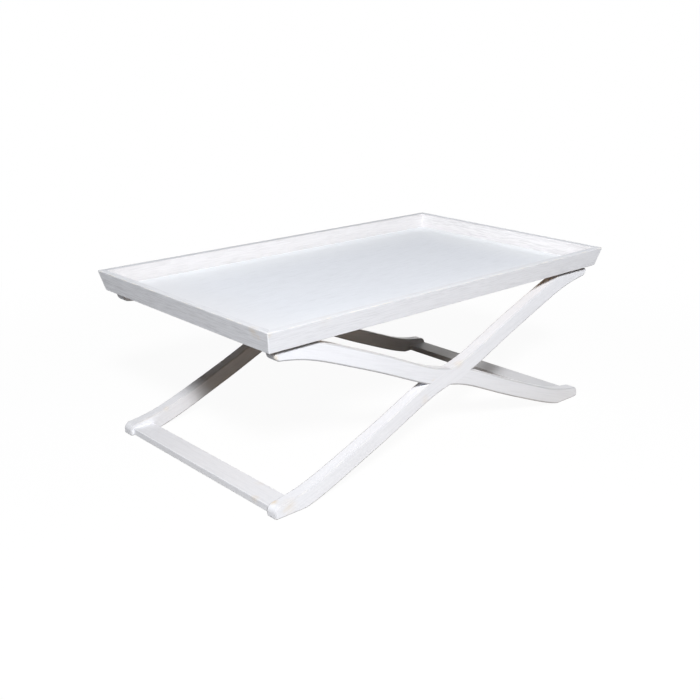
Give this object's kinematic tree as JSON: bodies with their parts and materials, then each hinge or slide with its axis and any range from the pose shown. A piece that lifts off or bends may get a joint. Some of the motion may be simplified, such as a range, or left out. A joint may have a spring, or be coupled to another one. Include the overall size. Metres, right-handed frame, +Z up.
{
  "type": "coffee table",
  "caption": "Rectangular coffee table: a lift-off tray top with splayed sides on a stand of crossed S-shaped legs joined by boards at the feet.",
  "frame": {"origin": "on the floor, at the middle of the table's footprint", "axes": "+X along the length of the table, -Y to the front, +Z up"},
  "size_m": [1.1992, 0.6992, 0.45],
  "materials": {
    "tray_sides": "whitewashed, matt",
    "tray_floor": "whitewashed, matt",
    "legs": "whitewashed, matt",
    "rails": "whitewashed, matt",
    "raw_wood": "bare",
    "screws": "zinc plated",
    "pads": "felt"
  },
  "bodies": {
    "stand": {"leg_front_left": "legs", "leg_front_right": "legs", "leg_back_left": "legs", "leg_back_right": "legs", "foot_stretcher_left": "rails", "foot_stretcher_right": "rails", "top_rail_left": "rails", "top_rail_right": "rails", "stretcher_dowels": "raw_wood", "top_rail_dowels": "raw_wood", "crossing_screws": "screws", "rest_pads": "pads"},
    "tray": {"tray_panel": "tray_floor", "tray_side_front": "tray_sides", "tray_side_back": "tray_sides", "tray_end_left": "tray_sides", "tray_end_right": "tray_sides", "mitre_splines": "raw_wood", "locating_batten_left": "raw_wood", "locating_batten_right": "raw_wood", "batten_screws": "screws"}
  },
  "joints": [
    {"name": "tray_lift", "type": "slide", "parent": "stand", "child": "tray", "axis": [0, 0, 1], "range_m": [0, 0.3]}
  ]
}
